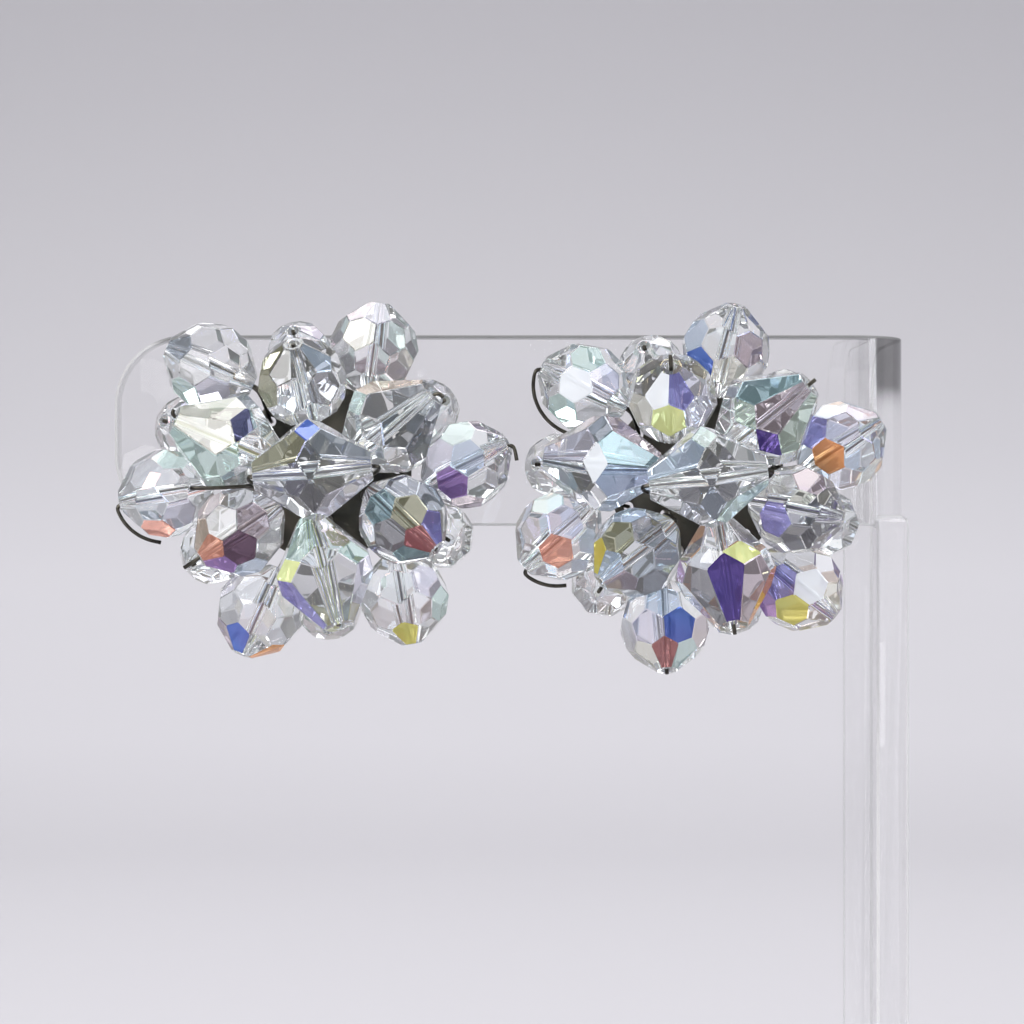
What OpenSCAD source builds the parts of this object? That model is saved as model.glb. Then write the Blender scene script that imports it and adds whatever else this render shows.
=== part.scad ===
// Pair of crystal cluster clip earrings on a clear acrylic display stand.
// The front of the stand faces -Y, the arm runs along X, and the table is Z = 0.

/* [Display stand] */
// Width of the arm, out to the outside of its bend
arm_w = 73.2; // [66:0.1:90]
// Height of the arm
arm_h = 17.6; // [14:0.1:24]
// Height of the arm's top edge above the table
stand_h = 100; // [85:1:130]
// Thickness of the clear sheet
sheet_t = 3; // [2:0.1:4]
// Radius of the sheet's rounded corners
sheet_corner_r = 6.5; // [3:0.5:8]
// Inside radius of the bend between the arm and the post
bend_r = 3; // [2:0.5:5]
// Depth of the post from front to back
post_d = 28; // [20:1:34]
// How far the post's front lobe stands above the arm's bottom edge
lobe_rise = 0.8; // [0.2:0.1:2]
// Width of the base plate
base_w = 80; // [74:1:110]
// Depth of the base plate
base_d = 60; // [56:1:90]
// Thickness of the base plate
base_t = 4; // [3:0.5:6]
// Radius of the base plate's corners
base_corner_r = 6; // [3:0.5:10]

/* [Beads] */
// Width of a round bead, corner to corner over its belt
round_w = 8; // [7:0.1:9]
// Length of a round bead along its bore
round_l = 8.4; // [7.4:0.1:9.4]
// Width of a long bead, corner to corner over its belt
long_w = 9; // [8.4:0.1:10]
// Length of a long bead along its bore
long_l = 10.3; // [9.4:0.1:11.2]
// Width of a small bead, corner to corner over its belt
small_w = 6; // [5:0.1:6.6]
// Length of a small bead along its bore
small_l = 6.1; // [5.2:0.1:6.8]
// Diameter of the bores
bore_d = 1; // [0.8:0.05:1.3]
// Facets around each bead
bead_sides = 8; // [8:1:10]
// Tilt of a round bead's belt facets
belt_tilt = 18; // [15:1:21]
// Tilt of a round bead's end facets
crown_tilt = 52; // [49:1:55]
// Radius of a round bead's flat end, as a share of its half width
round_flat = 0.24; // [0.2:0.01:0.3]
// Radius of a long bead's flat end, as a share of its half width
long_flat = 0.3; // [0.24:0.01:0.36]
// Smallest space kept between beads
bead_gap = 0.2; // [0.1:0.05:0.5]

/* [Settings] */
// Diameter of the pierced plate behind each cluster
plate_d = 16; // [14:0.5:17]
// Thickness of the pierced plate
plate_t = 0.8; // [0.5:0.1:1.2]
// Diameter of the holes pierced in the plate
hole_d = 0.9; // [0.8:0.05:1.1]
// Thickness of the dark wire
wire_d = 0.5; // [0.4:0.05:0.6]
// Width of the clip's strap
clip_w = 5; // [4:0.5:6]
// Thickness of the clip's strap
clip_t = 0.8; // [0.6:0.1:1.2]
// Diameter of the round pad behind the arm
pad_d = 8; // [6:0.5:9]
// Clearance between the clip and the arm
clip_gap = 0.15; // [0.1:0.05:0.3]
// Clearance between pieces that are fastened face to face
seat_gap = 0.1; // [0.05:0.05:0.2]

/* [Places on the arm] */
// Left cluster's distance from the middle of the arm
left_x = 17.2; // [16:0.1:19]
// Left cluster's height above the arm's bottom edge
left_up = 4.9; // [3:0.1:7]
// Right cluster's distance from the middle of the arm
right_x = 16.9; // [16:0.1:19]
// Right cluster's height above the arm's bottom edge
right_up = 4.3; // [3:0.1:7]

/* [Hidden] */
$fn = 48;

clear_tint = [0.86, 0.89, 0.93, 0.5];
crystal_tint = [0.80, 0.86, 0.94, 0.8];
dark_metal = [0.20, 0.19, 0.18];

// Heights on the stand
arm_bottom = stand_h - arm_h;
arm_front = sheet_t / 2;

// Distances in front of the middle of the arm
plate_front = arm_front + clip_gap + clip_t + seat_gap + plate_t;

// Room taken by each kind of bead, with the space kept round it
round_room = max(round_w, 0.96 * round_l) + bead_gap;
long_room = max(long_w, 0.88 * long_l) + bead_gap;
small_room = max(small_w, 0.98 * small_l) + bead_gap;

// The rings of beads: how far they lie from the cluster's axis, and in front of its plate
inner_r = (long_room + round_room) / 2;
outer_r = inner_r + 0.58 * round_room;
back_r = plate_d / 2 + 0.63 * small_room;
back_h = 0.42 * small_room;
outer_h = back_h + 0.44 * round_room;
inner_h = outer_h + 0.5 * round_room;
centre_h = inner_h + 0.5 * long_room;

// Feet of the wires on the plate, from the cluster's axis
inner_foot_r = 0.27 * plate_d;
outer_foot_r = 0.42 * plate_d;
centre_foot_r = 0.08 * plate_d;
end_foot_r = 0.33 * plate_d;

// The wires' sides, their clearance round a bead, and their straight lengths beside it
wire_sides = 6;
wire_gap = 0.17;
wire_lead = 0.56;
foot_rise = 1;

// A direction that no wire runs along, which sets how each tube's sides start
wire_upward = [0.31, 0.17, 0.93];

// Turn of the centre beads' facets about their bores
centre_spin = 11;

// Kinds of bead
ROUND = 0;
LONG = 1;
SMALL = 2;

// Columns of a bead's row
CLOCK = 0; // direction from the axis, seen from the front, degrees from +X
REACH = 1; // distance from the axis, as a share of the ring's radius
LIFT = 2;  // height above the ring, as a share of a round bead's width
SKEW = 3;  // how far the bore turns from pointing away from the axis, degrees
RISE = 4;  // how far the bore's outer end comes forward, degrees
SPIN = 5;  // turn of the facets about the bore, degrees
WRAP = 6;  // how far the wire bends round the bead's outside, degrees, and to which side
TAIL = 7;  // how far the wire stands out of the bead before any bend, as a share of its length
KIND = 8;  // kind of bead

LEFT_INNER = [
    [162, 0.93,  0.05,  -5,  14,  4,  -10, 0.00, LONG],
    [ 99, 0.91,  0.00,   2,  40, 10,    0, 0.00, ROUND],
    [ 31, 0.86,  0.08,   7,  19, 15,  -12, 0.01, LONG],
    [331, 1.00, -0.02, -13,  18,  8,    0, 0.00, ROUND],
    [275, 1.02,  0.05,  11,  20, 20,    0, 0.00, LONG],
    [218, 0.98,  0.00,  -4,  10,  0,    0, 0.20, ROUND]
];
LEFT_OUTER = [
    [136, 1.00,  0.00,  20,   5, 12,    0, 0.00, ROUND],
    [ 66, 0.88,  0.00,  16,   0,  2,    0, 0.00, ROUND],
    [  3, 0.97,  0.00,  24,  12, 17,  -24, 0.00, ROUND],
    [304, 1.00,  0.00, -24,   0,  6,    0, 0.00, ROUND],
    [247, 1.00,  0.00,   0,  10, 20,    0, 0.00, ROUND],
    [188, 1.02,  0.00,   2,   0,  9,   75, 0.00, ROUND]
];
LEFT_BACK = [
    [101, 0.92,  0.00,   0,  50,  5,    0, 0.00, SMALL],
    [ 30, 0.92,  0.00,   0,  50, 15,    0, 0.00, SMALL],
    [332, 1.03,  0.00,   0,  75,  0,    0, 0.00, SMALL],
    [273, 1.03,  0.00,   0,  50, 10,    0, 0.00, SMALL],
    [162, 1.08,  0.00,   0,  50, 20,    0, 0.00, SMALL],
    [216, 1.03,  0.00,   0,  50,  8,    0, 0.00, SMALL]
];
RIGHT_INNER = [
    [172, 1.03,  0.00,   3, -11, 22,    0, 0.00, LONG],
    [112, 0.86,  0.00, -16,  50, 12,    0, 0.16, ROUND],
    [ 44, 0.83,  0.05,  -5,  18,  0,    0, 0.07, LONG],
    [341, 0.98,  0.00,   8,  15, 20,    0, 0.00, ROUND],
    [282, 0.97,  0.18,  -5,  25,  3,    0, 0.07, LONG],
    [228, 1.01, -0.01, -10,  12, 16,    0, 0.00, ROUND]
];
RIGHT_OUTER = [
    [142, 0.98,  0.00,  12,   5, 18,  110, 0.00, ROUND],
    [ 79, 0.86, -0.04,  -2,  14,  8,    0, 0.00, ROUND],
    [ 13, 0.95,  0.00,  20,  10,  0,    0, 0.00, ROUND],
    [312, 0.96,  0.00,   8,  10, 14,    0, 0.00, ROUND],
    [256, 1.00,  0.00,  16,  20,  4,    0, 0.04, ROUND],
    [202, 1.01,  0.00,  20,   0, 10,   58, 0.00, ROUND]
];
RIGHT_BACK = [
    [113, 0.92,  0.00,   0,  50, 14,    0, 0.00, SMALL],
    [ 42, 0.88,  0.00,   0,  35,  4,    0, 0.00, SMALL],
    [341, 1.03,  0.00,   0,  75, 20,    0, 0.00, SMALL],
    [285, 0.97,  0.00,   0,  50,  0,    0, 0.00, SMALL],
    [228, 1.08,  0.00,   0,  75, 12,    0, 0.00, SMALL],
    [175, 1.08,  0.00,   0,  50, 10,    0, 0.00, SMALL]
];
// Clock direction of each centre bead's bore
LEFT_BORE = 5;
RIGHT_BORE = 7;

// Clock directions of the wires whose cut ends were left lying over the inner beads, and
// their bends: distance from the axis as a share of the inner ring's radius, height above
// the inner ring as a share of a round bead's width, and turn in degrees
LEFT_ENDS = [188];
RIGHT_ENDS = [];
END_BENDS = [
    [0.60, -0.20, 7],
    [0.60,  0.12, 7],
    [0.68,  0.28, 5],
    [1.00,  0.34, 2],
    [1.25,  0.28, 0]
];

// Bends of the centre bead's wire, from the end of its bore back under it to the plate:
// distance from the axis as a share of the bead's half length, depth below its bore as a
// share of its half width, and turn toward the cluster's bottom in degrees
CENTRE_BENDS = [
    [1.06, 0.00,  0],
    [1.12, 0.12,  2],
    [1.08, 0.32,  6],
    [0.81, 0.58, 16],
    [0.60, 0.76, 16],
    [0.38, 0.92,  8],
    [0.25, 1.30,  0]
];

// Where two lines a*r + b*z = c cross
function meet(p, q) =
    let (det = p[0] * q[1] - p[1] * q[0])
    [(p[2] * q[1] - p[1] * q[2]) / det, (p[0] * q[2] - p[2] * q[0]) / det];

// A row of facets is [tilt, distance] on a bead one unit in radius and half length.
// Its line lies over the middle of a facet, and its seam over the edge between two.
function line(row) = [cos(row[0]), sin(row[0]), row[1]];
function seam(row) = [cos(row[0]) * cos(180 / bead_sides), sin(row[0]), row[1]];

// The cut of a round bead: end facets, two rows over the belt, end facets
function round_cut() =
    let (belt = cos(belt_tilt) * (1 + cos(180 / bead_sides)) / 2,
         crown = round_flat * cos(180 / bead_sides) * cos(crown_tilt) + sin(crown_tilt))
    [[crown_tilt, crown], [belt_tilt, belt], [-belt_tilt, belt], [-crown_tilt, crown]];

// The cut of a long bead: end facets, one row of lozenges over the belt, end facets
function long_cut() =
    let (edge = 0.02,
         tilt = atan((1 - long_flat * cos(180 / bead_sides)) / (1 - edge)),
         crown = cos(tilt) + edge * sin(tilt))
    [[tilt, crown], [0, cos(180 / bead_sides)], [-tilt, crown]];

// Corner rings of a cut, from one flat end to the other, each [radius, height, offset]
function cut_rings(cut, flat) =
    let (last = len(cut) - 1)
    concat(
        [[flat, 1, 1]],
        [for (i = [0:last - 1]) each [
            concat(meet(seam(cut[i]), line(cut[i + 1])), [(i + 1) % 2]),
            concat(meet(line(cut[i]), seam(cut[i + 1])), [i % 2])
        ]],
        [[flat, -1, (last + 1) % 2]]
    );

// Corner number k of ring i, where k may run past the end of the ring
function corner(i, k) = i * bead_sides + (k + bead_sides) % bead_sides;

// A facet of row i, whose corners run round it, seen from outside
function facet(i, k, rows) =
    let (ahead = i % 2 == 0 ? k : k + 1,
         behind = i % 2 == 0 ? k - 1 : k)
    concat(
        i > 0 ? [corner(2 * i - 1, k)] : [],
        [corner(2 * i, ahead), corner(2 * i + 1, ahead)],
        i < rows - 1 ? [corner(2 * i + 2, k)] : [],
        [corner(2 * i + 1, behind), corner(2 * i, behind)]
    );

// Width, length and cut of each kind of bead
function width_of(kind) = [round_w, long_w, small_w][kind];
function length_of(kind) = [round_l, long_l, small_l][kind];
function flat_of(kind) = kind == LONG ? long_flat : round_flat;
function cut_of(kind) = kind == LONG ? long_cut() : round_cut();

// A bead cut from crystal, its bore along Z
module bead(kind) {
    half_w = width_of(kind) / 2;
    half_l = length_of(kind) / 2;
    cut = cut_of(kind);
    rings = cut_rings(cut, flat_of(kind));
    points = [for (ring = rings, k = [0:bead_sides - 1])
        let (turn = (k + ring[2] / 2) * 360 / bead_sides)
        [ring[0] * cos(turn) * half_w, ring[0] * sin(turn) * half_w, ring[1] * half_l]];
    ends = [
        [for (k = [0:bead_sides - 1]) corner(0, -k)],
        [for (k = [0:bead_sides - 1]) corner(len(rings) - 1, k)]
    ];
    sides = [for (i = [0:len(cut) - 1], k = [0:bead_sides - 1]) facet(i, k, len(cut))];
    difference() {
        polyhedron(points, concat(ends, sides));
        cylinder(h = 3 * half_l, d = bore_d, center = true);
    }
}

// Direction seen from the front at a clock angle, brought forward by a rise
function toward(clock, rise) = [cos(rise) * cos(clock), -sin(rise), cos(rise) * sin(clock)];

// A bead's centre and its bore's direction, from the cluster's place on its plate
function bead_at(row, ring_r, ring_h) =
    toward(row[CLOCK], 0) * row[REACH] * ring_r + [0, -(ring_h + row[LIFT] * round_w), 0];
function bore_of(row) = toward(row[CLOCK] + row[SKEW], row[RISE]);

module set_bead(row, ring_r, ring_h) {
    translate(bead_at(row, ring_r, ring_h))
        rotate([0, -row[CLOCK] - row[SKEW], 0])
            rotate([0, 0, -row[RISE]])
                rotate([0, 90, 0])
                    rotate([0, 0, row[SPIN]])
                        bead(row[KIND]);
}

module centre_bead(clock) {
    set_bead([clock, 0, 0, 0, 0, centre_spin, 0, 0, LONG], inner_r, centre_h);
}

// Moves a cluster from the origin to its place on the arm
module on_arm(side, up) {
    translate([side, -plate_front, arm_bottom + up]) children();
}
module on_left() { on_arm(-left_x, left_up) children(); }
module on_right() { on_arm(right_x, right_up) children(); }

// A wire's tube along its route
function unit(v) = v / norm(v);
function heading(route, i) =
    i == 0 ? unit(route[1] - route[0]) :
    i == len(route) - 1 ? unit(route[i] - route[i - 1]) :
    unit(unit(route[i + 1] - route[i]) + unit(route[i] - route[i - 1]));
function square_to(v, along) = unit(v - (v * along) * along);
function sides_of(route, v, i = 0) =
    i == len(route) ? [] :
    let (side = square_to(v, heading(route, i)))
    concat([side], sides_of(route, side, i + 1));

module wire(route) {
    n = wire_sides;
    sides = sides_of(route, wire_upward);
    points = [for (i = [0:len(route) - 1], k = [0:n - 1])
        let (across = cross(heading(route, i), sides[i]))
        route[i] + (sides[i] * cos(k * 360 / n) + across * sin(k * 360 / n)) * wire_d / 2];
    last = (len(route) - 1) * n;
    walls = [for (i = [0:len(route) - 2], k = [0:n - 1])
        [i * n + k, (i + 1) * n + k, (i + 1) * n + (k + 1) % n, i * n + (k + 1) % n]];
    polyhedron(points, concat([[for (k = [0:n - 1]) k]], walls,
                              [[for (k = [0:n - 1]) last + n - 1 - k]]));
}

// A wire's foot, from the back of the plate to where it stands clear of the front
function foot_points(clock, foot_r) =
    [for (h = [plate_t, -foot_rise]) toward(clock, 0) * foot_r + [0, h, 0]];

// The bent end of a bead's wire, round the outside of the bead
bend_step = 14;
function bend_points(centre, bore, side, half_l, half_w, wrap) =
    let (steps = ceil(abs(wrap) / bend_step))
    [for (i = [1:1:steps])
        let (turn = i * abs(wrap) / steps)
        centre + bore * half_l * cos(turn) + side * half_w * sin(turn)];

// A bead's wire: up from the plate, through the bore, and out at the far end
function bead_route(row, ring_r, ring_h, foot_r) =
    let (centre = bead_at(row, ring_r, ring_h), bore = bore_of(row),
         length = length_of(row[KIND]),
         off = wire_d / 2 + wire_gap,
         out_l = length * (0.5 + row[TAIL]) + off,
         out_w = width_of(row[KIND]) / 2 + off,
         end = row[WRAP] == 0 ? length * (0.5 + row[TAIL]) : out_l,
         side = toward(row[CLOCK] + row[SKEW] + 90 * sign(row[WRAP]), 0))
    concat(
        foot_points(row[CLOCK], foot_r),
        [centre - bore * (length / 2 + wire_lead), centre - bore * length / 2,
         centre + bore * end],
        row[WRAP] == 0 ? [] : bend_points(centre, bore, side, out_l, out_w, row[WRAP])
    );

// A wire whose cut end lies over the inner beads
function end_foot(clock) = clock + END_BENDS[0][2];
function end_route(clock) = concat(
    foot_points(end_foot(clock), end_foot_r),
    [for (bend = END_BENDS)
        toward(clock + bend[2], 0) * bend[0] * inner_r - [0, inner_h + bend[1] * round_w, 0]]
);

// The centre bead's wire: out of both ends and back under the bead to the plate
function centre_bend(row, clock, down) =
    toward(clock + down * row[2], 0) * row[0] * long_l / 2
    + [0, row[1] * long_w / 2 - centre_h, 0];
function centre_route(clock) =
    let (last = len(CENTRE_BENDS) - 1)
    concat(
        foot_points(clock, centre_foot_r),
        [for (i = [last:-1:0]) centre_bend(CENTRE_BENDS[i], clock, -1)],
        [for (i = [0:last]) centre_bend(CENTRE_BENDS[i], clock + 180, 1)],
        [for (i = [1, 0]) foot_points(clock + 180, centre_foot_r)[i]]
    );

module wires(inner, outer, back, clock, ends) {
    color(dark_metal) {
        for (row = inner) wire(bead_route(row, inner_r, inner_h, inner_foot_r));
        for (row = outer) wire(bead_route(row, outer_r, outer_h, outer_foot_r));
        for (row = back) wire(bead_route(row, back_r, back_h, outer_foot_r));
        for (end = ends) wire(end_route(end));
        wire(centre_route(clock));
    }
}

// A pierced plate, with a hole for each foot of wire
module plate_hole(clock, foot_r) {
    translate(toward(clock, 0) * foot_r)
        rotate([-90, 0, 0]) translate([0, 0, -plate_t]) cylinder(h = 3 * plate_t, d = hole_d, $fn = 24);
}
module plate(inner, outer, back, clock, ends) {
    color(dark_metal) difference() {
        rotate([-90, 0, 0]) cylinder(h = plate_t, d = plate_d);
        for (row = inner) plate_hole(row[CLOCK], inner_foot_r);
        for (row = outer) plate_hole(row[CLOCK], outer_foot_r);
        for (row = back) plate_hole(row[CLOCK], outer_foot_r);
        for (end = ends) plate_hole(end_foot(end), end_foot_r);
        for (turn = [0, 180]) plate_hole(clock + turn, centre_foot_r);
    }
}

// A clip's strap hooks under the arm, from the plate round to the pad behind
module clip(up) {
    inside = arm_front + clip_gap;
    outside = inside + clip_t;
    color(dark_metal) translate([0, plate_front, 0]) {
        translate([-clip_w / 2, 0, -up]) rotate([90, 0, 90]) linear_extrude(clip_w) {
            difference() {
                circle(outside);
                circle(inside);
                translate([-2 * outside, 0]) square([4 * outside, 2 * outside]);
            }
            translate([-outside, 0]) square([clip_t, up + plate_d / 4]);
            translate([inside, 0]) square([clip_t, up]);
        }
        translate([0, inside, 0]) rotate([-90, 0, 0]) cylinder(h = clip_t, d = pad_d);
    }
}

// What is cut away to round a corner at the origin, whose edges run to +X and +Y
module corner_cut(r) {
    difference() {
        translate([-r, -r]) square(2 * r);
        translate([r, r]) circle(r);
    }
}

module stand_upright() {
    bend_x = arm_w / 2 - sheet_t - bend_r;
    bend_y = bend_r + sheet_t - arm_front;
    foot_z = base_t + seat_gap / 2;
    lobe_top = arm_bottom + lobe_rise;
    post_back = post_d - arm_front;
    color(clear_tint) {
        // Arm
        translate([-arm_w / 2, arm_front, arm_bottom]) rotate([90, 0, 0])
            linear_extrude(sheet_t) difference() {
                square([arm_w / 2 + bend_x, arm_h]);
                corner_cut(sheet_corner_r);
                translate([0, arm_h]) mirror([0, 1]) corner_cut(sheet_corner_r);
            }
        // Bend
        translate([bend_x, bend_y, arm_bottom]) rotate([0, 0, -90])
            rotate_extrude(angle = 90) translate([bend_r, 0]) square([sheet_t, arm_h]);
        // Post, with the lobe that comes forward under the bend
        translate([arm_w / 2 - sheet_t, 0, 0]) rotate([90, 0, 90]) linear_extrude(sheet_t) {
            difference() {
                translate([bend_y, foot_z]) square([post_back - bend_y, stand_h - foot_z]);
                translate([post_back, stand_h]) mirror([1, 0]) mirror([0, 1])
                    corner_cut(sheet_corner_r);
            }
            difference() {
                translate([-arm_front, foot_z]) square([bend_y + arm_front, lobe_top - foot_z]);
                translate([-arm_front, lobe_top]) mirror([0, 1]) corner_cut(sheet_t / 2);
            }
        }
    }
}

module stand_base() {
    color(clear_tint) linear_extrude(base_t) translate([-base_w / 2, -base_d / 2])
        difference() {
            square([base_w, base_d]);
            for (x = [0, 1], y = [0, 1])
                translate([x * base_w, y * base_d]) mirror([x, 0]) mirror([0, y])
                    corner_cut(base_corner_r);
        }
}

module left_clip() { on_left() clip(left_up); }
module left_plate() { on_left() plate(LEFT_INNER, LEFT_OUTER, LEFT_BACK, LEFT_BORE, LEFT_ENDS); }
module left_wires() { on_left() wires(LEFT_INNER, LEFT_OUTER, LEFT_BACK, LEFT_BORE, LEFT_ENDS); }
module left_centre_bead() { color(crystal_tint) on_left() centre_bead(LEFT_BORE); }
module left_inner_bead(i) { color(crystal_tint) on_left() set_bead(LEFT_INNER[i - 1], inner_r, inner_h); }
module left_outer_bead(i) { color(crystal_tint) on_left() set_bead(LEFT_OUTER[i - 1], outer_r, outer_h); }
module left_back_bead(i) { color(crystal_tint) on_left() set_bead(LEFT_BACK[i - 1], back_r, back_h); }
module right_clip() { on_right() clip(right_up); }
module right_plate() { on_right() plate(RIGHT_INNER, RIGHT_OUTER, RIGHT_BACK, RIGHT_BORE, RIGHT_ENDS); }
module right_wires() { on_right() wires(RIGHT_INNER, RIGHT_OUTER, RIGHT_BACK, RIGHT_BORE, RIGHT_ENDS); }
module right_centre_bead() { color(crystal_tint) on_right() centre_bead(RIGHT_BORE); }
module right_inner_bead(i) { color(crystal_tint) on_right() set_bead(RIGHT_INNER[i - 1], inner_r, inner_h); }
module right_outer_bead(i) { color(crystal_tint) on_right() set_bead(RIGHT_OUTER[i - 1], outer_r, outer_h); }
module right_back_bead(i) { color(crystal_tint) on_right() set_bead(RIGHT_BACK[i - 1], back_r, back_h); }

stand_upright();
stand_base();
left_clip();
left_plate();
left_wires();
left_centre_bead();
left_inner_bead(1);  // left_inner_bead_1
left_inner_bead(2);  // left_inner_bead_2
left_inner_bead(3);  // left_inner_bead_3
left_inner_bead(4);  // left_inner_bead_4
left_inner_bead(5);  // left_inner_bead_5
left_inner_bead(6);  // left_inner_bead_6
left_outer_bead(1);  // left_outer_bead_1
left_outer_bead(2);  // left_outer_bead_2
left_outer_bead(3);  // left_outer_bead_3
left_outer_bead(4);  // left_outer_bead_4
left_outer_bead(5);  // left_outer_bead_5
left_outer_bead(6);  // left_outer_bead_6
left_back_bead(1);  // left_back_bead_1
left_back_bead(2);  // left_back_bead_2
left_back_bead(3);  // left_back_bead_3
left_back_bead(4);  // left_back_bead_4
left_back_bead(5);  // left_back_bead_5
left_back_bead(6);  // left_back_bead_6
right_clip();
right_plate();
right_wires();
right_centre_bead();
right_inner_bead(1);  // right_inner_bead_1
right_inner_bead(2);  // right_inner_bead_2
right_inner_bead(3);  // right_inner_bead_3
right_inner_bead(4);  // right_inner_bead_4
right_inner_bead(5);  // right_inner_bead_5
right_inner_bead(6);  // right_inner_bead_6
right_outer_bead(1);  // right_outer_bead_1
right_outer_bead(2);  // right_outer_bead_2
right_outer_bead(3);  // right_outer_bead_3
right_outer_bead(4);  // right_outer_bead_4
right_outer_bead(5);  // right_outer_bead_5
right_outer_bead(6);  // right_outer_bead_6
right_back_bead(1);  // right_back_bead_1
right_back_bead(2);  // right_back_bead_2
right_back_bead(3);  // right_back_bead_3
right_back_bead(4);  // right_back_bead_4
right_back_bead(5);  // right_back_bead_5
right_back_bead(6);  // right_back_bead_6
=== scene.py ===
# %% [markdown]
# # A pair of crystal cluster earrings on a clear display stand
# Each earring is a dome of cut crystal beads, wired to a pierced plate and clipped on the
# arm of a bent acrylic stand. The construction model gives every bead its size and place.
# Here each one gets polished edges, a thin coloured coat and the glass it is made of.
# We start by loading the construction model.

# %% Load the construction model
import math

import bpy
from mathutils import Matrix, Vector


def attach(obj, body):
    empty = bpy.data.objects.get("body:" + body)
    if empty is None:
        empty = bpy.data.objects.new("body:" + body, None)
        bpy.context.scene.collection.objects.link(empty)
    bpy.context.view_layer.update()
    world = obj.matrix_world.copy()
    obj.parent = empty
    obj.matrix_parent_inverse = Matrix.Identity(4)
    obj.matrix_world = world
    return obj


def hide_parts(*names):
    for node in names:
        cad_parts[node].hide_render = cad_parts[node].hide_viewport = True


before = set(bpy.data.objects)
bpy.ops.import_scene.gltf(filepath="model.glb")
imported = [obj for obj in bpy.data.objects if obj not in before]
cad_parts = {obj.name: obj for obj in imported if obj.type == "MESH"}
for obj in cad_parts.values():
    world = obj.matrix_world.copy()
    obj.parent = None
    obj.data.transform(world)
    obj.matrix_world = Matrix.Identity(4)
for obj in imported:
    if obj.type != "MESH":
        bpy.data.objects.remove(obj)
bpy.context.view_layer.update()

MM = 0.001
SIDES = ("left", "right")
scene = bpy.context.scene
print("construction nodes:", len(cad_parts))

# %% [markdown]
# ## The camera
# The photograph was taken level with the beads, square to the arm, from about 27 cm away.
# We put Blender's camera there first, because the coloured facets are found through it:
# a facet is named by the place in the photograph where it shows.

# %% The photograph's camera
IMAGE_SIZE = 1024
FOCAL_PIXELS = 2943
CAMERA_PLACE = Vector((0, -272.5, 83.7)) * MM

camera_data = bpy.data.cameras.new("camera")
camera_data.sensor_width = 36
camera_data.lens = camera_data.sensor_width * FOCAL_PIXELS / IMAGE_SIZE
camera_data.clip_start = 0.02
camera_data.clip_end = 20
camera = bpy.data.objects.new("camera", camera_data)
camera.location = CAMERA_PLACE
camera.rotation_euler = (math.radians(90), 0, 0)
scene.collection.objects.link(camera)
scene.camera = camera


def seen_at(point):
    """Where a point of the model shows in the photograph, in pixels from its top left."""
    away = point - CAMERA_PLACE
    return (IMAGE_SIZE / 2 + away.x * FOCAL_PIXELS / away.y,
            IMAGE_SIZE / 2 - away.z * FOCAL_PIXELS / away.y)


print("lens:", round(camera_data.lens, 1), "mm")

# %% [markdown]
# The photograph has the plain contrast of a camera's own picture. The Standard view keeps
# that, and the exposure brings the pale backdrop to the grey it has there.

# %% View transform
EXPOSURE = -1.2
scene.view_settings.view_transform = "Standard"
scene.view_settings.exposure = EXPOSURE
print("view:", scene.view_settings.view_transform, scene.view_settings.exposure)

# %% [markdown]
# ## Working with meshes
# Edit-mode operators act on whatever is selected, so every step first clears the
# selection and then picks one object. A copy of a construction solid arrives as loose
# triangles. Merging its corners and dissolving its flat edges gives back whole facets.

# %% Selection and copies of construction solids
MERGE_DISTANCE = 0.002 * MM
FLAT_ANGLE = math.radians(0.5)


def pick(obj):
    """Selects this object alone and makes it the active one."""
    for other in bpy.context.selected_objects:
        other.select_set(False)
    obj.select_set(True)
    bpy.context.view_layer.objects.active = obj


def whole_facets(node, name):
    """A copy of a construction solid, with its corners merged and each facet in one piece."""
    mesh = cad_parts[node].data.copy()
    mesh.name = name
    mesh.materials.clear()
    obj = bpy.data.objects.new(name, mesh)
    scene.collection.objects.link(obj)
    pick(obj)
    bpy.ops.object.mode_set(mode="EDIT")
    bpy.ops.mesh.select_all(action="SELECT")
    bpy.ops.mesh.customdata_custom_splitnormals_clear()
    bpy.ops.mesh.remove_doubles(threshold=MERGE_DISTANCE)
    bpy.ops.mesh.dissolve_limited(angle_limit=FLAT_ANGLE)
    bpy.ops.object.mode_set(mode="OBJECT")
    return obj


def bevel_edges(obj, width, segments, angle, material=-1):
    """Rounds every edge sharper than the angle, if wanted with a finish of its own."""
    pick(obj)
    rounding = obj.modifiers.new("rounding", "BEVEL")
    rounding.width = width
    rounding.segments = segments
    rounding.limit_method = "ANGLE"
    rounding.angle_limit = angle
    rounding.use_clamp_overlap = False
    rounding.harden_normals = False
    rounding.material = material
    bpy.ops.object.modifier_apply(modifier=rounding.name)


def finish_piece(obj, slot, *nodes):
    """Hands a piece over: it rides the body and stands for its nodes. The slot is not used."""
    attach(obj, "root")
    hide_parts(*nodes)


# %% [markdown]
# ## Building a material with sums
# A procedural material is a sum of small steps, and sums are easiest to read as Python
# expressions. This class holds one socket. Adding or multiplying it adds the Math node,
# and node() makes any other kind of node.

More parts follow.
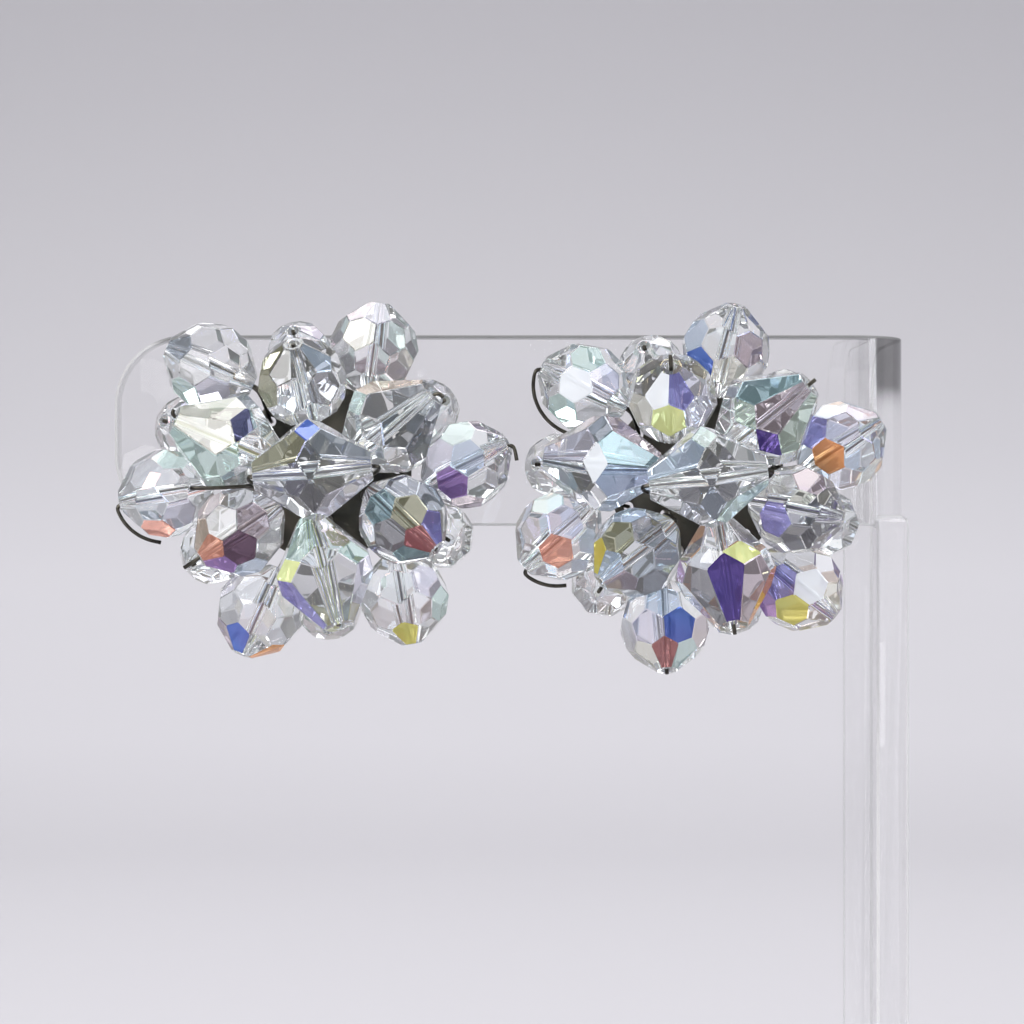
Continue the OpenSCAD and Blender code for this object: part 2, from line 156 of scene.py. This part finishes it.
# %% The shader class
class Flow:
    """One output socket of a material, which can be used in sums."""

    def __init__(self, tree, socket):
        self.tree = tree
        self.socket = socket

    def node(self, kind, settings=None, **inputs):
        """Adds a node of any kind: its settings first, then its values or links.

        A socket is named by its label, with _ for a space, or by its number, as in i6.
        """
        made = self.tree.nodes.new(kind)
        for name, value in (settings or {}).items():
            if name == "stops":
                ramp = made.color_ramp.elements
                for _ in value[2:]:
                    ramp.new(1)
                for element, (place, colour) in zip(ramp, value):
                    element.position = place
                    element.color = colour
            else:
                setattr(made, name, value)
        for name, value in inputs.items():
            key = int(name[1:]) if name[1:].isdigit() else name.replace("_", " ")
            if isinstance(value, Flow):
                self.tree.links.new(value.socket, made.inputs[key])
            else:
                made.inputs[key].default_value = value
        return Flow(self.tree, made.outputs[0])

    def math(self, operation, *values):
        """Adds a Math node that works on these values."""
        inputs = {f"i{k}": value for k, value in enumerate(values)}
        return self.node("ShaderNodeMath", {"operation": operation}, **inputs)

    def __add__(self, other):
        return self.math("ADD", self, other)

    def __radd__(self, other):
        return self.math("ADD", other, self)

    def __sub__(self, other):
        return self.math("SUBTRACT", self, other)

    def __rsub__(self, other):
        return self.math("SUBTRACT", other, self)

    def __mul__(self, other):
        return self.math("MULTIPLY", self, other)

    def __rmul__(self, other):
        return self.math("MULTIPLY", other, self)

    def above(self, limit):
        """1 where the value is above the limit, and 0 elsewhere."""
        return self.math("GREATER_THAN", self, limit)

    def mix(self, share, first, second):
        """Mixes two colours, with a share of the second that may vary from place to place."""
        mixed = self.node("ShaderNodeMix", {"data_type": "RGBA"}, i0=share, i6=first, i7=second)
        return Flow(self.tree, mixed.socket.node.outputs[2])


def new_material(name):
    """A material with one shader. Returns it, the shader, and the object's coordinates."""
    material = bpy.data.materials.new(name)
    material.use_nodes = True
    tree = material.node_tree
    shader = tree.nodes["Principled BSDF"]
    place = tree.nodes.new("ShaderNodeTexCoord")
    return material, shader, Flow(tree, place.outputs["Object"])


def feed(flow, shader, socket):
    """Links a value to one of the shader's sockets."""
    flow.tree.links.new(flow.socket, shader.inputs[socket])


# %% [markdown]
# ## Cut crystal
# The beads are clear lead crystal with a vapour coat a few hundred nanometres thick. The
# coat shows as blue, violet, lime and orange patches that keep to single facets, because
# each facet tilts its coat differently toward the light. Painting one colour over a whole
# bead would look like coloured glass. So a bead has a clear finish on most facets, and
# the few that flash in the photograph have a finish of their own colour.
#
# In a real cluster, light crosses dozens of facets before it leaves. The renderer follows
# only the first few, and the rest goes dark. A faint glow in the facet's own colour gives
# back what is lost. The tint drifts a little over a bead too, as a thin coat does.

# %% Clear crystal and its coat
CRYSTAL_IOR = 1.56
COAT_IOR = 1.75
GLOW = 0.08
SMEAR_SCALE = 420.0
SMEAR_ROUGHNESS = 0.02
DRIFT_SCALE = 230.0
DRIFT_GAIN = 2.0
DRIFT_START = 0.6
DRIFT_SHARE = 0.1
CLEAR_COATS = {
    "clear": ((0.96, 0.98, 0.99), 0),
    "clear_cool": ((0.90, 0.95, 0.96), 170),
    "clear_plain": ((0.97, 0.98, 0.98), 0),
    "clear_warm": ((0.95, 0.95, 0.97), 290),
}


def crystal_material(name, colour, coat_nm, see_through, roughness, mirror=0.0):
    """Crystal whose polish varies a little, as handling and wiping leave it."""
    material, shader, place = new_material(name)
    red, green, blue = colour
    shifted = [(1 - DRIFT_SHARE) * own + DRIFT_SHARE * other
               for own, other in zip(colour, (blue, red, green))]
    smears = place.node("ShaderNodeTexNoise", Vector=place, Scale=SMEAR_SCALE, Detail=2.0)
    drift = place.node("ShaderNodeTexNoise", Vector=place, Scale=DRIFT_SCALE, Detail=0.0)
    feed(roughness + smears * SMEAR_ROUGHNESS, shader, "Roughness")
    tint = place.mix(drift * DRIFT_GAIN - DRIFT_START, (*colour, 1), (*shifted, 1))
    feed(tint, shader, "Base Color")
    shader.inputs["IOR"].default_value = CRYSTAL_IOR
    shader.inputs["Transmission Weight"].default_value = see_through
    shader.inputs["Metallic"].default_value = mirror
    shader.inputs["Thin Film Thickness"].default_value = coat_nm
    shader.inputs["Thin Film IOR"].default_value = COAT_IOR
    shader.inputs["Emission Color"].default_value = (*colour, 1)
    shader.inputs["Emission Strength"].default_value = GLOW
    return material


FINISHES = {
    name: crystal_material(f"crystal_{name}", colour, coat_nm, 1.0, 0.0)
    for name, (colour, coat_nm) in CLEAR_COATS.items()
}
print("clear finishes:", ", ".join(FINISHES))

# %% [markdown]
# Each flashing facet is partly a mirror and partly a stained window, so its finish has a
# colour and lets only part of the light through. The colours paint in what a facet reflects
# from this side: the ones that such a coat makes, from gold, orange and wine to violet, blue
# and mint, with white as a painted highlight where a facet mirrors the window, and the greys
# ash and smoke as painted shade where it mirrors the darker room. Each row has the colour,
# the share of light it lets through and how much of a mirror it is.

# %% Coloured facets
# Coat colours and painted reflections: white paints a highlight, ash and smoke paint shade.
COAT_AND_REFLECTION_COLOURS = {
    "white": ((0.86, 0.90, 0.94), 0.2, 0.0),
    "cream": ((0.93, 0.91, 0.78), 0.8, 0.0),
    "sky": ((0.57, 0.71, 0.88), 0.8, 0.1),
    "lilac": ((0.74, 0.73, 0.87), 0.8, 0.0),
    "blush": ((0.90, 0.78, 0.78), 0.8, 0.0),
    "mint": ((0.60, 0.82, 0.75), 0.8, 0.0),
    "sage": ((0.46, 0.58, 0.48), 0.8, 0.1),
    "teal": ((0.22, 0.38, 0.42), 0.8, 0.1),
    "slate": ((0.32, 0.37, 0.43), 0.8, 0.1),
    "steel": ((0.28, 0.39, 0.57), 0.8, 0.1),
    "violet": ((0.26, 0.26, 0.66), 0.6, 0.2),
    "blue": ((0.05, 0.13, 0.52), 0.4, 0.2),
    "navy": ((0.03, 0.04, 0.12), 0.7, 0.2),
    "indigo": ((0.03, 0.015, 0.17), 0.3, 0.1),
    "purple": ((0.30, 0.15, 0.48), 0.6, 0.2),
    "mauve": ((0.46, 0.37, 0.42), 0.8, 0.1),
    "plum": ((0.08, 0.03, 0.07), 0.6, 0.2),
    "wine": ((0.30, 0.07, 0.08), 0.5, 0.1),
    "coral": ((0.64, 0.21, 0.14), 0.6, 0.1),
    "peach": ((0.90, 0.70, 0.56), 0.8, 0.0),
    "orange": ((0.80, 0.25, 0.06), 0.5, 0.1),
    "gold": ((0.66, 0.58, 0.08), 0.5, 0.1),
    "lime": ((0.80, 0.84, 0.30), 0.4, 0.0),
    "olive": ((0.38, 0.37, 0.23), 0.8, 0.1),
    "smoke": ((0.24, 0.24, 0.26), 0.8, 0.1),
    "ash": ((0.60, 0.61, 0.63), 0.9, 0.0),
}
for name, (colour, see_through, mirror) in COAT_AND_REFLECTION_COLOURS.items():
    FINISHES[name] = crystal_material(
        f"crystal_{name}", colour, 0, see_through, 0.0, mirror,
    )
print("coloured finishes:", len(COAT_AND_REFLECTION_COLOURS))

# %% [markdown]
# The facets that flash are chosen by looking at the photograph, bead by bead. The table says
# nothing of where they are, because the code works that out: it puts the facets of a bead
# that face the camera in reading order, from the top down, and gives each its colour from
# the bead's row. A dash leaves a facet as it is, and so does the end of the row.

# %% Colours of the facets that flash
AS_IS = "-"
# Each colour paints in what the facet reflects toward this camera: a coat colour, a painted
# highlight (white) or painted shade (ash, smoke).
FLASHES = {
    "left_centre_bead": "blue - - slate olive - - - - lilac smoke ash",
    "left_inner_bead_1": "- slate cream - - navy cream - mint - mint - ash mint",
    "left_inner_bead_2": "- ash - - sky olive - - - smoke olive",
    "left_inner_bead_3": "peach - ash mint - ash - smoke",
    "left_inner_bead_4": "- - slate - slate - teal olive - violet - smoke wine - teal ash",
    "left_inner_bead_5": "- - mint - mint - - lime ash lilac ash violet",
    "left_inner_bead_6": "- - - blush - mauve ash - - peach ash plum coral - - purple sky",
    "left_outer_bead_1": "- - ash - slate - - - ash - - - - mint lilac",
    "left_outer_bead_2": "- lilac - - cream - - ash - blush",
    "left_outer_bead_3": "- mint - - - - lilac sky - - - - purple - - mauve",
    "left_outer_bead_4": "- - - - - - lilac - - mint - - - - - gold",
    "left_outer_bead_5": "- - lilac - - - ash - - - mauve blue - - orange",
    "left_outer_bead_6": "- mint - - - - - - - - - - lilac - - coral",
    "right_centre_bead": "mint - - - sky - - - - mint slate ash",
    "right_inner_bead_1": "slate blush mauve lilac teal white - - steel - - sky",
    "right_inner_bead_2": "- - - - - - lilac - - white violet cream lilac lime",
    "right_inner_bead_3": "- - teal - mauve sage - sage - indigo",
    "right_inner_bead_4": "- mauve - ash - - - - - violet - ash smoke",
    "right_inner_bead_5": "- - - lime ash - - indigo mauve smoke orange",
    "right_inner_bead_6": "sky - - - smoke olive - slate gold - ash sky - mauve - smoke",
    "right_outer_bead_1": "- - mint - - - - lilac white - - - mint",
    "right_outer_bead_2": "- - - - sky - - mauve - blue cream",
    "right_outer_bead_3": "- - - - - - lilac violet - - - - orange - cream - blush",
    "right_outer_bead_4": "- - - ash - - violet - white - cream purple gold",
    "right_outer_bead_5": "- - sky - - blue lilac blush - wine mint cream",
    "right_outer_bead_6": "- - mint - - lilac - - - - coral",
}
flashing = [c for row in FLASHES.values() for c in row.split() if c != AS_IS]
print("facets that flash:", len(flashing))

# %% [markdown]
# The facets at the back of a bead show through it as small coloured shapes. So every third
# facet that faces away from the camera is painted too, from a short palette: coat colours, and
# the greys ash and smoke as painted shade. The beads with a strong colour of their own in the
# photograph have a palette of their own.

# %% Colours seen through the beads
FAR_SPACING = 3
# Coat colours, with ash and smoke as painted shade seen through the bead.
FAR_COLOURS = ("slate", "cream", "mint", "smoke", "sky", "ash", "blush", "lilac")
FAR_PALETTES = {
    "left_inner_bead_1": ("lime", "teal", "slate", "mint", "cream"),
    "left_inner_bead_4": ("smoke", "slate", "wine", "teal", "violet"),
    "left_inner_bead_5": ("mint", "lime", "violet", "gold", "teal"),
    "left_inner_bead_6": ("peach", "plum", "sky", "mauve", "ash"),
    "left_outer_bead_5": ("steel", "cream", "lilac", "peach", "slate"),
    "right_inner_bead_1": ("steel", "sky", "blush", "teal", "mint"),
    "right_inner_bead_4": ("indigo", "smoke", "lilac", "cream", "slate"),
    "right_inner_bead_5": ("indigo", "olive", "orange", "smoke", "lilac"),
    "right_inner_bead_6": ("sky", "gold", "smoke", "orange", "teal"),
    "right_outer_bead_4": ("gold", "purple", "blue", "peach", "mint"),
}
print("palettes of their own:", len(FAR_PALETTES))

# %% [markdown]
# ## The beads
# A cut bead is a turned blank ground flat by a machine, so its facets meet in crisp edges
# that polishing has only just softened. The narrowest bevel gives them the thin bright
# line that cut glass has. A facet keeps a flat face: smooth shading would melt the cut.

# %% Polish and colour the beads
EDGE_POLISH = 0.07 * MM
CUT_ANGLE = math.radians(12)
SMALLEST_FACET = MM * MM
bead_nodes = [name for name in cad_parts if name.split("_")[-1].isdigit()]
bead_nodes += [f"{side}_centre_bead" for side in SIDES]


def front_facets(mesh):
    """The facets that face the camera and are big enough to flash, in reading order."""
    facing = [f for f in mesh.polygons if f.area > SMALLEST_FACET
              and f.normal.dot(f.center - CAMERA_PLACE) < 0]
    return sorted(facing, key=lambda f: seen_at(f.center)[::-1])


def colour_facets(obj, flashes, palette, number):
    """Gives a bead its clear and far finishes in turn, and then its flashing facets."""
    mesh = obj.data
    for finish in FINISHES.values():
        mesh.materials.append(finish)
    order = list(FINISHES)
    for facet in mesh.polygons:
        turn = facet.index + number
        facet.material_index = turn % len(CLEAR_COATS)
        if facet.normal.y > 0 and turn % FAR_SPACING == 0:
            colour = palette[turn // FAR_SPACING % len(palette)]
            facet.material_index = order.index(colour)
    for facet, colour in zip(front_facets(mesh), flashes):
        if colour != AS_IS:
            facet.material_index = order.index(colour)


def drop_unused_slots(obj):
    """Keeps only the finishes that some facet has."""
    pick(obj)
    bpy.ops.object.material_slot_remove_unused()


for number, node in enumerate(sorted(bead_nodes)):
    bead = whole_facets(node, f"{node}_crystal")
    flashes = FLASHES.get(node, "").split()
    colour_facets(bead, flashes, FAR_PALETTES.get(node, FAR_COLOURS), number)
    bevel_edges(bead, EDGE_POLISH, 1, CUT_ANGLE)
    drop_unused_slots(bead)
    finish_piece(bead, "cut_crystal", node)
print("beads:", len(bead_nodes))

# %% [markdown]
# ## Dark metal
# The wire, the pierced plate and the clip are plated base metal that has gone dark olive
# brown. Tarnish is cloudy: it lies in patches, duller where it is thicker.

# %% Tarnished metal
PIT_SCALE = 9
PIT_DEPTH = 0.05 * MM
CLOUD_ROUGHNESS = 0.2
CLOUD_EDGES = (0.35, 0.7)


def dark_metal(name, colour, brighter, roughness, scale):
    """Tarnished metal, its clouds between two tones and its surface faintly pitted."""
    material, shader, place = new_material(name)
    clouds = place.node("ShaderNodeTexNoise", Vector=place, Scale=scale, Detail=4.0)
    pits = place.node("ShaderNodeTexNoise", Vector=place, Scale=PIT_SCALE * scale, Detail=3.0)
    stops = [(edge, (*metal, 1)) for edge, metal in zip(CLOUD_EDGES, (colour, brighter))]
    tone = place.node("ShaderNodeValToRGB", {"stops": stops}, Fac=clouds)
    feed(tone, shader, "Base Color")
    feed(roughness + clouds * CLOUD_ROUGHNESS, shader, "Roughness")
    relief = place.node("ShaderNodeBump", Height=pits, Strength=0.15, Distance=PIT_DEPTH)
    feed(relief, shader, "Normal")
    shader.inputs["Metallic"].default_value = 1.0
    return material


wire_metal = dark_metal("tarnished_wire", (0.035, 0.033, 0.03), (0.12, 0.11, 0.09), 0.22, 500)
plate_metal = dark_metal("tarnished_plate", (0.05, 0.05, 0.045), (0.12, 0.11, 0.09), 0.35, 260)
clip_metal = dark_metal("clip_metal", (0.20, 0.19, 0.17), (0.42, 0.40, 0.36), 0.25, 180)
print("metals:", wire_metal.name, plate_metal.name, clip_metal.name)

# %% [markdown]
# ## The wires
# Each bead hangs on a length of dark wire that comes up from the plate, runs through the
# bead and ends at its tip, or bends back round it. The construction model has them with
# six sides and sharp corners. A subdivision surface turns each into a round, softly bent
# wire along the same route. It would also pull in the cut ends, which stand out of some
# beads as dark stubs, so their edges are creased: a crease keeps an edge where it is. The
# wire is drawn a little thinner too, as in the photograph.

# %% Round the wires
WIRE_SIDES = 6
LARGEST_END = 0.2 * MM * MM
WIRE_LEVELS = 2
THINNER = -0.05 * MM
for side in SIDES:
    wires = whole_facets(f"{side}_wires", f"{side}_bent_wires")
    bpy.ops.object.mode_set(mode="EDIT")
    bpy.ops.mesh.select_all(action="SELECT")
    bpy.ops.transform.shrink_fatten(value=THINNER)
    bpy.ops.mesh.select_mode(type="FACE")
    bpy.ops.mesh.select_all(action="DESELECT")
    bpy.ops.object.mode_set(mode="OBJECT")
    for face in wires.data.polygons:
        face.select = len(face.vertices) == WIRE_SIDES and face.area < LARGEST_END
    print(side, "cut ends:", sum(face.select for face in wires.data.polygons))
    bpy.ops.object.mode_set(mode="EDIT")
    bpy.ops.transform.edge_crease(value=1)
    bpy.ops.mesh.select_mode(type="VERT")
    bpy.ops.object.mode_set(mode="OBJECT")
    rounding = wires.modifiers.new("rounding", "SUBSURF")
    rounding.levels = WIRE_LEVELS
    rounding.render_levels = WIRE_LEVELS
    bpy.ops.object.modifier_apply(modifier=rounding.name)
    bpy.ops.object.shade_smooth()
    wires.data.materials.append(wire_metal)
    finish_piece(wires, "dark_metal", f"{side}_wires")
    print(side, "wire faces:", len(wires.data.polygons))

# %% [markdown]
# ## Plates and clips
# The plate is a stamped disc with a hole for every wire, and the clip's strap hooks under
# the arm to a round pad behind it. Stamping leaves slightly rolled edges, so the copies
# of both get a small two-step bevel.

# %% Roll the plates' and clips' edges
STAMPED_EDGE = 0.12 * MM
SHARP = math.radians(40)
for side in SIDES:
    for part, metal in (("plate", plate_metal), ("clip", clip_metal)):
        piece = whole_facets(f"{side}_{part}", f"{side}_rolled_{part}")
        bevel_edges(piece, STAMPED_EDGE, 2, SHARP)
        bpy.ops.object.shade_smooth_by_angle(angle=SHARP)
        piece.data.materials.append(metal)
        finish_piece(piece, "dark_metal", f"{side}_{part}")
print("plates and clips done")

# %% [markdown]
# ## The stand
# The stand is one sheet of clear acrylic, heat-bent where the arm meets the post, on a
# flat base. Sawn edges that have been flame-polished are rounded and bright, and handling
# leaves faint smears that only show in the gloss. Glass blocks the light of lamps in the
# renderer, as a real sheet doesn't, so part of each sheet is made transparent by its alpha.

# %% Clear acrylic
ACRYLIC_IOR = 1.49
SHEET_ALPHA = 0.4
BASE_ALPHA = 0.10
EDGE_ALPHA = 0.9
RIM_ALPHA = 0.6
SMEARED = 0.6
SHEEN = 0.03


def acrylic_material(name, roughness, see_through, alpha):
    """Clear acrylic with faint smears. Returns the material, its shader and coordinates."""
    material, shader, place = new_material(name)
    smears = place.node("ShaderNodeTexNoise", Vector=place, Scale=60.0, Detail=3.0)
    feed(roughness + smears.above(SMEARED) * SHEEN, shader, "Roughness")
    shader.inputs["IOR"].default_value = ACRYLIC_IOR
    shader.inputs["Transmission Weight"].default_value = see_through
    shader.inputs["Alpha"].default_value = alpha
    return material, shader, place


# %% [markdown]
# The sheet itself is nearly invisible. What shows is its rim, the strip that the saw and the
# flame leave, with painted shade and light on it: grey along the top, where it mirrors the dark
# room, and pale elsewhere. The bend shows too, where the stretched plastic mirrors the dark
# room near its upper end: a painted reflection that fades to clear below.

# %% Sheet, sawn edge and bend
RIM_TOP = (98.9 * MM, 99.6 * MM)
RIM_END = (-33.0 * MM, -31.0 * MM)
RIM_TOP_PAINTED_SHADE = 0.22
RIM_MIDDLE_PAINTED_LIGHT = 0.75
RIM_END_PAINTED_LIGHT = 0.60
BEND_LEFT = (33.2 * MM, 33.8 * MM)
BEND_FADE = (92.5 * MM, 95.6 * MM)
BEND_BACK = (3.5 * MM, 5.5 * MM)
BEND_PAINTED_REFLECTION = 0.05
CLEAR = 0.985
RIM_ROUGHNESS = 0.4
RIM_SHINE = 0.1


def fade(value, low, high):
    """Rises smoothly from 0 to 1 between two limits."""
    return value.node(
        "ShaderNodeMapRange", {"interpolation_type": "SMOOTHSTEP"},
        Value=value, From_Min=low, From_Max=high,
    )


def three_axes(place):
    """The X, Y and Z of the object's coordinates, each as a value."""
    axes = place.node("ShaderNodeSeparateXYZ", Vector=place)
    return [Flow(axes.tree, socket) for socket in axes.socket.node.outputs]


acrylic, shader, place = acrylic_material("clear_acrylic_sheet", 0.0, 1.0, SHEET_ALPHA)
across, depth, height = three_axes(place)
# Painted reflection: the bend's base colour darkens toward its upper end and fades to clear
# below.
bend_reflection_mask = fade(across, *BEND_LEFT) * fade(height, *BEND_FADE) * (1 - fade(depth, *BEND_BACK))
feed(CLEAR - bend_reflection_mask * (CLEAR - BEND_PAINTED_REFLECTION), shader, "Base Color")
feed(SHEET_ALPHA + bend_reflection_mask * (EDGE_ALPHA - SHEET_ALPHA), shader, "Alpha")

rim, shader, place = acrylic_material("acrylic_edge_painted_shade_and_light", RIM_ROUGHNESS, 0.0, EDGE_ALPHA)
across, depth, height = three_axes(place)
# Painted light and shade on the rim: a paler tone along its sides and ends, grey along the top.
painted_side_light = RIM_END_PAINTED_LIGHT - fade(across, *RIM_END) * (RIM_END_PAINTED_LIGHT - RIM_MIDDLE_PAINTED_LIGHT)
shaded_top = fade(height, *RIM_TOP)
feed(painted_side_light - shaded_top * (painted_side_light - RIM_TOP_PAINTED_SHADE), shader, "Base Color")
feed(RIM_ALPHA + shaded_top * (EDGE_ALPHA - RIM_ALPHA), shader, "Alpha")
shader.inputs["Specular IOR Level"].default_value = RIM_SHINE

base_acrylic, shader, place = acrylic_material("clear_acrylic_base", 0.0, 1.0, BASE_ALPHA)
shader.inputs["Base Color"].default_value = (CLEAR, CLEAR, CLEAR, 1)
print("acrylic:", acrylic.name, rim.name, base_acrylic.name)

# %% [markdown]
# The polished rim is a bevel of three steps with its own finish. The bevel isn't clamped,
# because the short edges in the bend would hold it back all round.

# %% Polish the sheets' edges
POLISHED_EDGE = 0.25 * MM
for part, clear in (("upright", acrylic), ("base", base_acrylic)):
    sheet = whole_facets(f"stand_{part}", f"stand_clear_{part}")
    sheet.data.materials.append(clear)
    sheet.data.materials.append(rim)
    bevel_edges(sheet, POLISHED_EDGE, 3, SHARP, material=1)
    bpy.ops.object.shade_smooth_by_angle(angle=SHARP)
    finish_piece(sheet, "clear_acrylic", f"stand_{part}")
    rim_faces = sum(face.material_index == 1 for face in sheet.data.polygons)
    print(sheet.name, "faces:", len(sheet.data.polygons), "of them rim:", rim_faces)

# %% [markdown]
# ## Floor, backdrop and light
# Glass shows only what is around it. A pale floor that sweeps up behind the stand gives
# the clear middle of every bead, and a darker studio in front gives the grey streaks. The
# sweep is one plane, whose back edge is extruded in small turns until it stands upright.

# %% Model the sweep
SWEEP_BACK = 0.45
SWEEP_FRONT = 2.0
SWEEP_RADIUS = 0.25
SWEEP_WIDTH = 3.0
SWEEP_HEIGHT = 1.6
SWEEP_STEPS = 12
for other in bpy.context.selected_objects:
    other.select_set(False)
SWEEP_MIDDLE = (SWEEP_BACK - SWEEP_FRONT) / 2
bpy.ops.mesh.primitive_plane_add(size=1, location=(0, SWEEP_MIDDLE, 0))
sweep = bpy.context.object
sweep.name = "pale_sweep"
sweep.scale = (SWEEP_WIDTH, SWEEP_BACK + SWEEP_FRONT, 1)
bpy.ops.object.transform_apply(location=True, rotation=False, scale=True)
bpy.ops.object.mode_set(mode="EDIT")
bpy.ops.mesh.select_all(action="DESELECT")
bpy.ops.object.mode_set(mode="OBJECT")
for edge in sweep.data.edges:
    edge.select = all(sweep.data.vertices[v].co.y > 0 for v in edge.vertices)
bpy.ops.object.mode_set(mode="EDIT")
bpy.ops.mesh.select_mode(type="EDGE")
for step in range(SWEEP_STEPS):
    turn = (step + 0.5) * math.pi / 2 / SWEEP_STEPS
    move = SWEEP_RADIUS * math.pi / 2 / SWEEP_STEPS
    bpy.ops.mesh.extrude_region_move(
        TRANSFORM_OT_translate={"value": (0, move * math.cos(turn), move * math.sin(turn))}
    )
bpy.ops.mesh.extrude_region_move(TRANSFORM_OT_translate={"value": (0, 0, SWEEP_HEIGHT)})
bpy.ops.mesh.select_all(action="SELECT")
bpy.ops.mesh.normals_make_consistent(inside=False)
bpy.ops.object.mode_set(mode="OBJECT")
bpy.ops.object.shade_smooth()
print("sweep faces:", len(sweep.data.polygons))

# %% [markdown]
# The backdrop in the photograph is brightest a little above the floor and falls off toward
# the top. A colour ramp along Z does the same with the paint, so no lamp has to be aimed.
# The floor also falls off toward the front, where only the views from behind show it: this is
# painted shade, a darker paint there.

# %% Pale paint
SHADE_HEIGHT = 0.25
PAINT_ROUGHNESS = 0.75
GRAIN_ROUGHNESS = 0.1
SHADES = [
    (0.0, (0.540, 0.528, 0.558, 1)),
    (0.08, (0.580, 0.568, 0.600, 1)),
    (0.26, (0.580, 0.568, 0.600, 1)),
    (0.43, (0.533, 0.522, 0.552, 1)),
    (0.70, (0.495, 0.485, 0.512, 1)),
    (1.0, (0.448, 0.439, 0.465, 1)),
]
# Painted shade: the floor's paint darkens toward the front.
FRONT_FADE = (-0.9, -0.3)
FRONT_PAINTED_SHADE = (0.20, 0.20, 0.21, 1)
paint, shader, place = new_material("pale_paint")
grain = place.node("ShaderNodeTexNoise", Vector=place, Scale=30.0, Detail=3.0)
feed(PAINT_ROUGHNESS + grain * GRAIN_ROUGHNESS, shader, "Roughness")
across, depth, height = three_axes(place)
shade = place.node("ShaderNodeValToRGB", {"stops": SHADES}, Fac=height * (1 / SHADE_HEIGHT))
feed(place.mix(fade(depth, *FRONT_FADE), FRONT_PAINTED_SHADE, shade), shader, "Base Color")
sweep.data.materials.append(paint)
print("stage:", sweep.name)

# %% [markdown]
# Large lamps give the soft light of a window. None of them shows in a view, and the fill
# stands clear of the floor, which would glare beside it. The low one, in front, lights the
# undersides of the beads. Seen through the clear sheets it would be a white bar, so it is
# hidden from light that has passed through them, and the post doesn't mirror it there.

# %% Soft lamps
CLUSTERS = (0, 0, 0.087)
LAMPS = {
    "window": ((-0.50, -0.50, 0.55), (0.45, 0.45), 12, (1.0, 0.99, 0.98)),
    "fill": ((0.65, -0.35, 0.45), (0.2, 0.6), 5.5, (0.94, 0.97, 1.0)),
    "low": ((-0.22, -0.60, 0.02), (0.5, 0.08), 1.5, (1.0, 1.0, 1.0)),
    "top": ((0.05, 0.30, 0.8), (0.8, 0.5), 12, (1.0, 1.0, 1.0)),
}


def soft_lamp(name, place, size, watts, colour):
    """A lamp with a wide face that is aimed at the clusters."""
    light = bpy.data.lights.new(name, "AREA")
    light.shape = "RECTANGLE"
    light.size, light.size_y = size
    light.energy = watts
    light.color = colour
    obj = bpy.data.objects.new(name, light)
    obj.location = place
    obj.rotation_mode = "QUATERNION"
    obj.rotation_quaternion = (Vector(CLUSTERS) - Vector(place)).to_track_quat("-Z", "Y")
    obj.visible_camera = False
    scene.collection.objects.link(obj)
    return obj


lamps = {name: soft_lamp(name, *row) for name, row in LAMPS.items()}
lamps["low"].visible_transmission = False
print("lamps:", ", ".join(lamps))

# %% [markdown]
# The world is the studio's dark side. It is darkest behind the camera, where a real room
# is unlit, and lighter overhead, so polished facets find both light and shade.

# %% A studio that is darker behind the camera
STUDIO_STRENGTH = 0.9
STUDIO_MIDDLE = 0.35
BACK_SHARE = 0.4
UP_SHARE = 0.25
STUDIO_TONES = [
    (0.0, (0.50, 0.50, 0.53, 1)),
    (0.35, (0.85, 0.86, 0.89, 1)),
    (0.5, (1.25, 1.26, 1.30, 1)),
    (1.0, (1.4, 1.4, 1.45, 1)),
]
world = bpy.data.worlds.new("studio")
scene.world = world
world.use_nodes = True
tree = world.node_tree
direction = tree.nodes.new("ShaderNodeTexCoord")
_, back, up = three_axes(Flow(tree, direction.outputs["Generated"]))
ramp = back.node(
    "ShaderNodeValToRGB", {"stops": STUDIO_TONES},
    Fac=back * BACK_SHARE + up * UP_SHARE + STUDIO_MIDDLE,
)
background = tree.nodes["Background"]
tree.links.new(ramp.socket, background.inputs["Color"])
background.inputs["Strength"].default_value = STUDIO_STRENGTH
print("world:", world.name)
